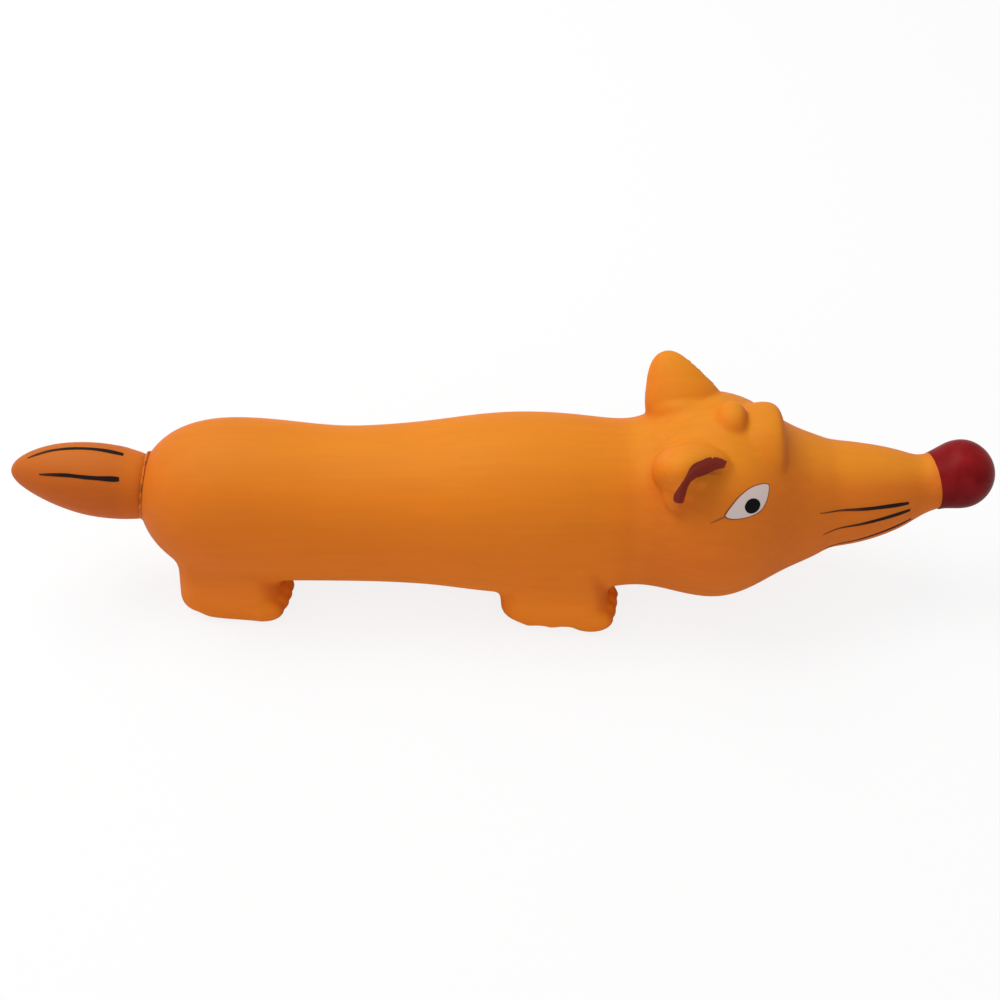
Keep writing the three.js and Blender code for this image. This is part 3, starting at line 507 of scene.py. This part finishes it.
def latex_finish(name, ear_side=0):
    """The sprayed orange. For an ear it adds the brick red crescent inside, on that side."""
    material, tree, shader = new_finish(name, roughness=0.6, specular=0.12)
    shader.inputs["Subsurface Weight"].default_value = 0.10
    shader.inputs["Subsurface Radius"].default_value = (1.0, 0.35, 0.12)
    shader.inputs["Subsurface Scale"].default_value = 0.0015
    coordinates = tree.nodes.new("ShaderNodeTexCoord")
    place = coordinates.outputs["Object"]
    lies, faces = apart(tree, place), apart(tree, coordinates.outputs["Normal"])

    # From the tail to the snout; then painted shade by which way the skin faces, darker and redder
    # on the flanks than on top and underneath
    along_tone = shades(tree, fade(tree, lies["X"], -0.17, 0.15), [
        (0.0, (0.560, 0.140, 0.014)), (0.115, (0.570, 0.140, 0.013)),
        (0.150, (0.700, 0.192, 0.012)), (0.300, (0.750, 0.220, 0.011)),
        (0.500, (0.775, 0.234, 0.011)), (0.662, (0.765, 0.230, 0.011)),
        (0.672, (0.785, 0.254, 0.012)), (1.0, (0.760, 0.246, 0.014)),
    ])
    facing_shade = shades(tree, fade(tree, faces["Z"], -1.0, 1.0), [
        (0.0, (1.0, 0.90, 0.90)), (0.30, (0.94, 0.80, 0.86)), (0.50, (0.95, 0.78, 0.86)),
        (0.65, (0.97, 0.82, 0.88)), (0.85, (0.97, 0.87, 0.92)), (1.0, (0.94, 0.97, 1.0)),
    ])
    colour = mixed(tree, "MULTIPLY", 1.0, along_tone, facing_shade)

    # Painted shade on the cheeks below the crown, where they turn away from the top, painted light
    # on the feet, and painted shade on whatever faces forwards
    on_head = fade(tree, lies["X"], 0.036, 0.050)
    under_crown = fade(tree, lies["Z"], 0.069, 0.058)
    off_top = fade(tree, faces["Z"], 1.0, 0.70, smooth=True)
    cheek_shade = worked_out(tree, "MULTIPLY", on_head, under_crown)
    cheek_shade = worked_out(tree, "MULTIPLY", cheek_shade, off_top)
    colour = mixed(tree, "MULTIPLY", cheek_shade, colour, (0.90, 0.78, 1.0, 1))
    # Painted light: everything near the floor is brightened.
    feet_light = fade(tree, lies["Z"], 0.024, 0.012)
    colour = mixed(tree, "MULTIPLY", feet_light, colour, (1.18, 1.24, 1.16, 1))
    if not ear_side:
        # Painted shade on whatever faces forwards, on the body but not on the ears.
        front_shade = fade(tree, faces["X"], 0.30, 0.90, smooth=True)
        colour = mixed(tree, "MULTIPLY", front_shade, colour, (0.84, 0.74, 0.90, 1))

    # Patches and brush streaks, and the pits, where the colour lies deeper
    stretch = tree.nodes.new("ShaderNodeMapping")
    stretch.inputs["Scale"].default_value = (0.05, 1.0, 1.0)
    tree.links.new(place, stretch.inputs["Vector"])
    patches = clouds(tree, place, 28.0, 4.0)
    streaks = clouds(tree, stretch.outputs["Vector"], 420.0, 3.0)
    both = worked_out(tree, "ADD", patches, streaks)
    colour = mixed(tree, "MULTIPLY", 1.0, colour, fade(tree, both, 0.6, 1.4, 0.94, 1.04))
    pit_cells = tree.nodes.new("ShaderNodeTexVoronoi")
    pit_cells.inputs["Scale"].default_value = 150.0
    tree.links.new(place, pit_cells.inputs["Vector"])
    pit_depth = fade(tree, pit_cells.outputs["Distance"], 0.01, 0.05)
    colour = mixed(tree, "MIX", pit_depth, (0.62, 0.17, 0.015, 1), colour)

    if ear_side:
        crescent = crescent_mask(tree, ear_side)
        colour = mixed(tree, "MIX", crescent, colour, (0.225, 0.026, 0.016, 1))
    tree.links.new(colour, shader.inputs["Base Color"])
    grain = dimpled(tree, clouds(tree, place, 900.0, 3.0), 0.10, 0.0003)
    pitted = dimpled(tree, pit_depth, 0.25, 0.0003, under=grain)
    tree.links.new(pitted, shader.inputs["Normal"])
    return material


painted_latex = latex_finish("painted_latex")
fox_skin.data.materials.clear()
fox_skin.data.materials.append(painted_latex)
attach(fox_skin, "body")
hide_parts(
    "torso_skin", "head_skin", "snout_skin", "front_left_leg", "front_right_leg",
    "rear_left_leg", "rear_right_leg", "torso_fill", "head_fill",
)
for side, name in ((-1, "right_ear"), (1, "left_ear")):
    ear = ears[side]
    ear.data.materials.clear()
    ear.data.materials.append(latex_finish(name + "_latex", ear_side=side))
    root, up_ear = ear_lines[side]
    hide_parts(name, "right_inner_ear" if side < 0 else "left_inner_ear")
    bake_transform(ear)


# Nose: a hollow ball of latex at the end of the snout, cast in one with it. It is painted crimson
# by hand, up to the flare that it grows out of, with painted shade that darkens it underneath.
nose_rings = [
    (144.6, 9.0, 8.0), (145.6, 10.6, 8.6), (147.0, 10.5, 9.5), (149.4, 10.75, 11.2),
    (151.8, 11.2, 12.6), (154.0, 11.75, 13.5), (157.4, 12.15, 13.9), (160.6, 11.75, 13.9),
    (163.4, 10.5, 13.8), (165.9, 8.5, 13.8), (167.8, 5.9, 13.8), (168.9, 3.0, 13.8),
    (169.2, 0.8, 13.8),
]
nose = round_form("nose", [(x, r, body_axis + rise) for x, r, rise in nose_rings], sides=32)
select_only(nose)
bpy.ops.object.mode_set(mode="EDIT")
bpy.ops.mesh.select_all(action="SELECT")
bpy.ops.mesh.bisect(
    plane_co=(0.1487, 0, 0.0459), plane_no=(1, 0.109, 0.150), use_fill=True, clear_inner=True
)
bpy.ops.mesh.select_all(action="SELECT")
bpy.ops.mesh.normals_make_consistent(inside=False)
bpy.ops.object.mode_set(mode="OBJECT")
bpy.ops.object.shade_smooth_by_angle(angle=math.radians(50))
crimson, tree, shader = new_finish("crimson_paint", roughness=0.38, specular=0.05)
place = tree.nodes.new("ShaderNodeTexCoord").outputs["Object"]
cloud = clouds(tree, place, 160.0, 4.0)
reds = shades(tree, cloud, [(0.3, (0.175, 0.0045, 0.0060)), (0.75, (0.285, 0.0110, 0.0140))])
# Painted shade: the crimson darkens towards the underside.
shade_below = fade(tree, apart(tree, place)["Z"], 0.040, 0.058, 0.54, 1.0)
tree.links.new(mixed(tree, "MULTIPLY", 1.0, reds, shade_below), shader.inputs["Base Color"])
tree.links.new(dimpled(tree, cloud, 0.12, 0.0004), shader.inputs["Normal"])
nose.data.materials.append(crimson)
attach(nose, "body")
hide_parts("nose_ball")


# Tail: a hollow spindle of the same orange latex, cast by itself. Its front end is pushed into the
# rump and glued there.
tail_rings = [
    (-169.9, 0.5, 49.4), (-169.3, 2.2, 49.4), (-167.6, 4.3, 49.2), (-164.2, 6.7, 48.9),
    (-159.4, 9.1, 48.2), (-153.5, 11.2, 47.2), (-146.4, 12.7, 45.7), (-139.0, 13.2, 44.5),
    (-132.5, 12.8, 43.4), (-127.6, 12.0, 42.4), (-124.0, 11.1, 41.8), (-119.0, 7.0, 41.6),
    (-117.6, 2.0, 41.6),
]
tail = round_form("fox_tail", tail_rings, sides=32)
select_only(tail)
bpy.ops.object.shade_smooth()
tail.data.materials.append(painted_latex)
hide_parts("tail")
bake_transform(tail)


# Glue: a thin uneven bead of amber rubber cement, squeezed out where the tail was pushed into the
# rump. It is attached to the body, not to the tail.
bpy.ops.object.select_all(action="DESELECT")
bpy.ops.mesh.primitive_torus_add(
    major_segments=160, minor_segments=10, major_radius=0.0117, minor_radius=0.00045,
    location=(-0.1246, 0, 0.0421), rotation=(0, math.radians(98), 0),
)
glue = bpy.context.object
glue.name = "tail_glue"
bpy.ops.object.transform_apply(location=True, rotation=True, scale=True)
lumps = bpy.data.textures.new("glue_lumps", "CLOUDS")
lumps.noise_scale = 0.0025
apply_modifier(glue, "DISPLACE", texture=lumps, strength=0.0008, mid_level=0.5)
select_only(glue)
bpy.ops.object.shade_smooth()
cement, tree, shader = new_finish("rubber_cement", roughness=0.45, specular=0.2)
place = tree.nodes.new("ShaderNodeTexCoord").outputs["Object"]
grime = clouds(tree, place, 260.0, 3.0)
ambers = shades(tree, grime, [(0.34, (0.30, 0.070, 0.014)), (0.52, (0.60, 0.165, 0.016))])
tree.links.new(ambers, shader.inputs["Base Color"])
glue.data.materials.append(cement)
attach(glue, "body")


# Painted marks: eyes, whiskers and the strokes on the tail, brushed on by hand in thin layers.
# Each row of a mark is its place along X and the angles of its lower and upper edges from the top.
def marking_paint(name, colour, faded=None, fade_from=0.0, fade_to=0.0, roughness=0.5):
    """A plain paint, that may fade along X to another colour where the brush ran dry."""
    material, tree, shader = new_finish(name, roughness, specular=0.06)
    shader.inputs["Base Color"].default_value = (*colour, 1)
    if faded:
        ragged_by = 0.010
        place = tree.nodes.new("ShaderNodeTexCoord").outputs["Object"]
        uneven = clouds(tree, place, 420.0, 3.0)
        ragged = worked_out(tree, "MULTIPLY_ADD", uneven, ragged_by, apart(tree, place)["X"])
        run_dry = fade(tree, ragged, fade_from + ragged_by / 2, fade_to + ragged_by / 2)
        fading = mixed(tree, "MIX", run_dry, (*faded, 1), (*colour, 1))
        tree.links.new(fading, shader.inputs["Base Color"])
    return material


def carrier_at(carrier, x):
    """How far out a mark starts, and the height of its carrier's middle, at a place along X."""
    rings = tail_rings if carrier == tail else [(a, r, body_axis + s) for a, r, s in body_rings]
    above = 0.4  # the mark starts clear of its carrier, and is then wrapped on to it
    for (a, r, z), (b, s, y) in zip(rings, rings[1:]):
        if a <= x <= b:
            share = (x - a) / (b - a)
            return r + (s - r) * share + above, z + (y - z) * share


def painted_mark(name, rows, carrier, side, lift, material, across=3):
    """Lays a patch on its carrier: rows of X, lower and upper angle in degrees, low to high X."""
    bpy.ops.object.select_all(action="DESELECT")
    bpy.ops.mesh.primitive_grid_add(
        x_subdivisions=len(rows) - 1, y_subdivisions=across, size=2, location=(0, 0, 0)
    )
    mark = bpy.context.object
    mark.name = name
    for vertex in mark.data.vertices:
        i = round((vertex.co.x + 1) / 2 * (len(rows) - 1))
        x, low, high = rows[i]
        angle = math.radians(low + (high - low) * (vertex.co.y + 1) / 2)
        out, middle = carrier_at(carrier, x)
        vertex.co = (
            x / 1000, side * out * math.sin(angle) / 1000, (middle + out * math.cos(angle)) / 1000
        )
    apply_modifier(
        mark, "SUBSURF", levels=2, render_levels=2, boundary_smooth="PRESERVE_CORNERS"
    )
    apply_modifier(
        mark, "SHRINKWRAP", target=carrier, wrap_method="NEAREST_SURFACEPOINT",
        wrap_mode="ABOVE_SURFACE", offset=lift / 1000,
    )
    apply_modifier(mark, "SOLIDIFY", thickness=0.00012, offset=0.0)
    bpy.ops.object.mode_set(mode="EDIT")
    bpy.ops.mesh.select_all(action="SELECT")
    bpy.ops.mesh.normals_make_consistent(inside=False)
    bpy.ops.object.mode_set(mode="OBJECT")
    bpy.ops.object.shade_smooth_by_angle(angle=math.radians(40))
    mark.data.materials.append(material)
    return mark


# Eyes: a brown line, the pinkish white over it, the pupil on top, and a crease behind them.
eye_middle = (81.2, 50.8)  # X and angle of the pupil's middle
eye_outline = [
    (-9.1, -3.85, -3.75), (-8.6, -4.4, -2.7), (-7.0, -4.85, -0.6), (-5.0, -4.9, 2.0),
    (-2.0, -4.5, 4.55), (0.0, -3.95, 5.8), (2.0, -3.1, 6.5), (3.6, -1.7, 7.0),
    (4.8, 0.6, 7.1), (5.5, 3.2, 7.0), (5.8, 5.4, 6.4),
]
half_eye = 7.5  # half of the outline's length, which a line round it adds to
head_arc = 36.0  # millimetres of radius that turn heights on the cheek into angles


def eye_rows(outline, grow=0.0):
    """Rows of an eye: millimetres from its middle along X, and down and up the cheek."""
    rows = []
    for along, low, high in outline:
        rows.append((
            eye_middle[0] + along * (1 + grow / half_eye),
            eye_middle[1] - math.degrees((low - grow) / head_arc),
            eye_middle[1] - math.degrees((high + grow) / head_arc),
        ))
    return rows


half_pupil = (2.7, 2.6)  # along X and up the cheek
pupil_outline = []
for step in range(9):
    turn = math.pi * (0.04 + 0.92 * step / 8)
    tilt = -0.65 - 0.35 * math.cos(turn)
    rise = half_pupil[1] * math.sin(turn)
    pupil_outline.append((-half_pupil[0] * math.cos(turn), tilt - rise, tilt + rise))

eye_line_paint = marking_paint("eye_line_paint", (0.27, 0.062, 0.018))
crease_paint = marking_paint("crease_paint", (0.36, 0.095, 0.02))
eye_white_paint = marking_paint("eye_white_paint", (0.66, 0.54, 0.51), roughness=0.45)
pupil_paint = marking_paint("pupil_paint", (0.006, 0.005, 0.005), roughness=0.35)
for side, word in ((-1, "right"), (1, "left")):
    line = painted_mark(
        word + "_eye_line", eye_rows(eye_outline, 0.34), fox_skin, side, 0.02, eye_line_paint
    )
    white = painted_mark(
        word + "_eye_white_paint", eye_rows(eye_outline), fox_skin, side, 0.10, eye_white_paint
    )
    pupil = painted_mark(
        word + "_pupil_paint", eye_rows(pupil_outline), fox_skin, side, 0.19, pupil_paint
    )
    crease = painted_mark(
        word + "_eye_crease",
        [
            (67.2, 60.6, 61.0), (68.8, 59.4, 60.3), (70.6, 57.7, 58.9), (72.4, 56.4, 57.6),
        ],
        fox_skin, side, 0.0, crease_paint, across=1,
    )
    for mark in (line, white, pupil, crease):
        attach(mark, "body")
    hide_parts(word + "_eye_white")
    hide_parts(word + "_pupil")

# Whiskers: three strokes on each side of the snout, broad at the nose and dry towards the cheek.
whisker_paint = marking_paint(
    "whisker_paint", (0.018, 0.010, 0.008), faded=(0.17, 0.05, 0.018),
    fade_from=0.108, fade_to=0.124, roughness=0.45,
)
whisker_places = {
    "upper": ((106.2, 61.4), (138.0, 66.2)),
    "middle": ((108.4, 84.8), (139.0, 78.8)),
    "lower": ((110.8, 117.0), (140.4, 103.0)),
}
whisker_bow = 0.5  # degrees off a straight line, to one side and then to the other
# Half the width of a stroke, in millimetres, from its rear end to its front one.
stroke_widths = [0.10, 0.24, 0.26, 0.36, 0.44, 0.54, 0.62, 0.60, 0.70, 0.74, 0.70, 0.46]
for word, (rear, front) in whisker_places.items():
    for side, hand in ((-1, "right"), (1, "left")):
        rows = []
        for i, half in enumerate(stroke_widths):
            share = i / (len(stroke_widths) - 1)
            x = rear[0] + (front[0] - rear[0]) * share
            bow = whisker_bow * math.sin(2 * math.pi * share)
            angle = rear[1] + (front[1] - rear[1]) * share + bow
            spread = math.degrees(half / carrier_at(fox_skin, x)[0])
            rows.append((x, angle + spread, angle - spread))
        whisker = painted_mark(
            f"{hand}_whisker_{word}_paint", rows, fox_skin, side, 0.05, whisker_paint, across=1
        )
        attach(whisker, "body")
        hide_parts(f"{hand}_whisker_{word}")

# Tail strokes: one on top and one on each flank, thick at the rump end and thin at the tip.
tail_paint = marking_paint(
    "tail_paint", (0.016, 0.009, 0.008), faded=(0.10, 0.032, 0.016),
    fade_from=-0.166, fade_to=-0.150, roughness=0.45,
)
tail_stroke_widths = [0.20, 0.50, 0.62, 0.68, 0.60, 0.70, 0.74, 0.68, 0.80, 0.94, 1.04, 0.74]
tail_strokes = {
    "top": [(-162.8, 7.0), (-156.0, -2.6), (-148.8, -7.6), (-139.3, -9.2), (-130.4, -7.6)],
    "right": [(-157.8, 48.3), (-148.2, 42.4), (-141.2, 42.6), (-135.4, 41.2), (-130.6, 39.2)],
    "left": [(-160.4, -60.0), (-149.0, -57.0), (-141.6, -58.0), (-136.0, -57.0), (-131.0, -56.0)],
}
for word, points in tail_strokes.items():
    rows = []
    for i, half in enumerate(tail_stroke_widths):
        share = i / (len(tail_stroke_widths) - 1) * (len(points) - 1)
        start = min(int(share), len(points) - 2)
        (from_x, from_angle), (to_x, to_angle) = points[start:start + 2]
        x = from_x + (to_x - from_x) * (share - start)
        angle = from_angle + (to_angle - from_angle) * (share - start)
        spread = math.degrees(half / carrier_at(tail, x)[0])
        rows.append((x, angle + spread, angle - spread))
    stroke = painted_mark(f"tail_{word}_paint", rows, tail, -1, 0.05, tail_paint, across=1)
    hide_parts(f"tail_stroke_{word}")
    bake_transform(stroke)


# Squeaker: a housing with its cover, and a reed with its holder and collar, moulded in milky
# polyethylene. They sit in the port in the belly, hardly seen, and keep their shapes from CAD.
squeaker_white, tree, shader = new_finish("squeaker_white", roughness=0.4, specular=0.5)
cloud = clouds(tree, tree.nodes.new("ShaderNodeTexCoord").outputs["Object"], 90.0)
milk = shades(tree, cloud, [(0.0, (0.70, 0.70, 0.66)), (1.0, (0.80, 0.80, 0.77))])
tree.links.new(milk, shader.inputs["Base Color"])
for name in ("squeaker_housing", "squeaker_cover", "reed_holder", "reed_collar", "reed_tongue"):
    piece = bpy.data.objects[name]
    piece.data.materials.clear()
    piece.data.materials.append(squeaker_white)


# Studio: white paper under the toy, a broad soft lamp above it, a weak one on the near side and a
# pale room all round. Paper and room look brighter to the camera than the light that they give.
bpy.ops.object.select_all(action="DESELECT")
bpy.ops.mesh.primitive_plane_add(size=6.0, location=(0, 0, 0))
floor = bpy.context.object
floor.name = "paper_floor"
paper, tree, shader = new_finish("paper", roughness=0.9, specular=0.1)
shader.inputs["Base Color"].default_value = (0.88, 0.88, 0.88, 1)
nodes, links = tree.nodes, tree.links
bright = nodes.new("ShaderNodeEmission")
seen = nodes.new("ShaderNodeLightPath")
blend_in = nodes.new("ShaderNodeMixShader")
glow = worked_out(tree, "MULTIPLY", seen.outputs["Is Camera Ray"], 0.84)
links.new(glow, blend_in.inputs["Fac"])
links.new(shader.outputs["BSDF"], blend_in.inputs[1])
links.new(bright.outputs["Emission"], blend_in.inputs[2])
links.new(blend_in.outputs["Shader"], nodes["Material Output"].inputs["Surface"])
floor.data.materials.append(paper)

room = bpy.data.worlds.new("pale_room")
room.use_nodes = True
room.node_tree.nodes["Background"].inputs["Color"].default_value = (1.0, 1.0, 1.0, 1)
room.node_tree.nodes["Background"].inputs["Strength"].default_value = 0.55
nodes, links = room.node_tree.nodes, room.node_tree.links
seen = nodes.new("ShaderNodeLightPath")
backdrop = nodes.new("ShaderNodeBackground")
backdrop.inputs["Color"].default_value = (1.0, 1.0, 1.0, 1)
behind = nodes.new("ShaderNodeMixShader")
links.new(seen.outputs["Is Camera Ray"], behind.inputs["Fac"])
links.new(nodes["Background"].outputs["Background"], behind.inputs[1])
links.new(backdrop.outputs["Background"], behind.inputs[2])
links.new(behind.outputs["Shader"], nodes["World Output"].inputs["Surface"])
bpy.context.scene.world = room

for lamp_name, place, energy, size in (
    ("soft_lamp", (-0.45, 0.28, 1.0), 9.0, 0.9),
    ("front_lamp", (0.0, -1.1, 0.35), 0.8, 0.9),
):
    bpy.ops.object.light_add(type="AREA", location=place)
    lamp = bpy.context.object
    lamp.name = lamp_name
    lamp.data.shape = "RECTANGLE"
    lamp.data.size = size
    lamp.data.size_y = size * 0.7
    lamp.data.energy = energy
    towards_toy = Vector((0, 0, 0.03)) - lamp.location
    lamp.rotation_euler = towards_toy.to_track_quat("-Z", "Y").to_euler()

# Camera: it looks down at the toy's right side at 45 degrees from about half a metre away.
aim = Vector((-0.0014, 0.0005, 0.0344))
towards = Vector((0, -math.sqrt(0.5), math.sqrt(0.5)))
distance = 0.504
bpy.ops.object.camera_add(location=aim + towards * distance)
camera = bpy.context.object
camera.name = "camera"
camera.rotation_euler = (-towards).to_track_quat("-Z", "Y").to_euler()
camera.data.sensor_width = 36.0
camera.data.lens = 51.45
bpy.context.scene.camera = camera
bpy.context.scene.view_settings.view_transform = "Standard"
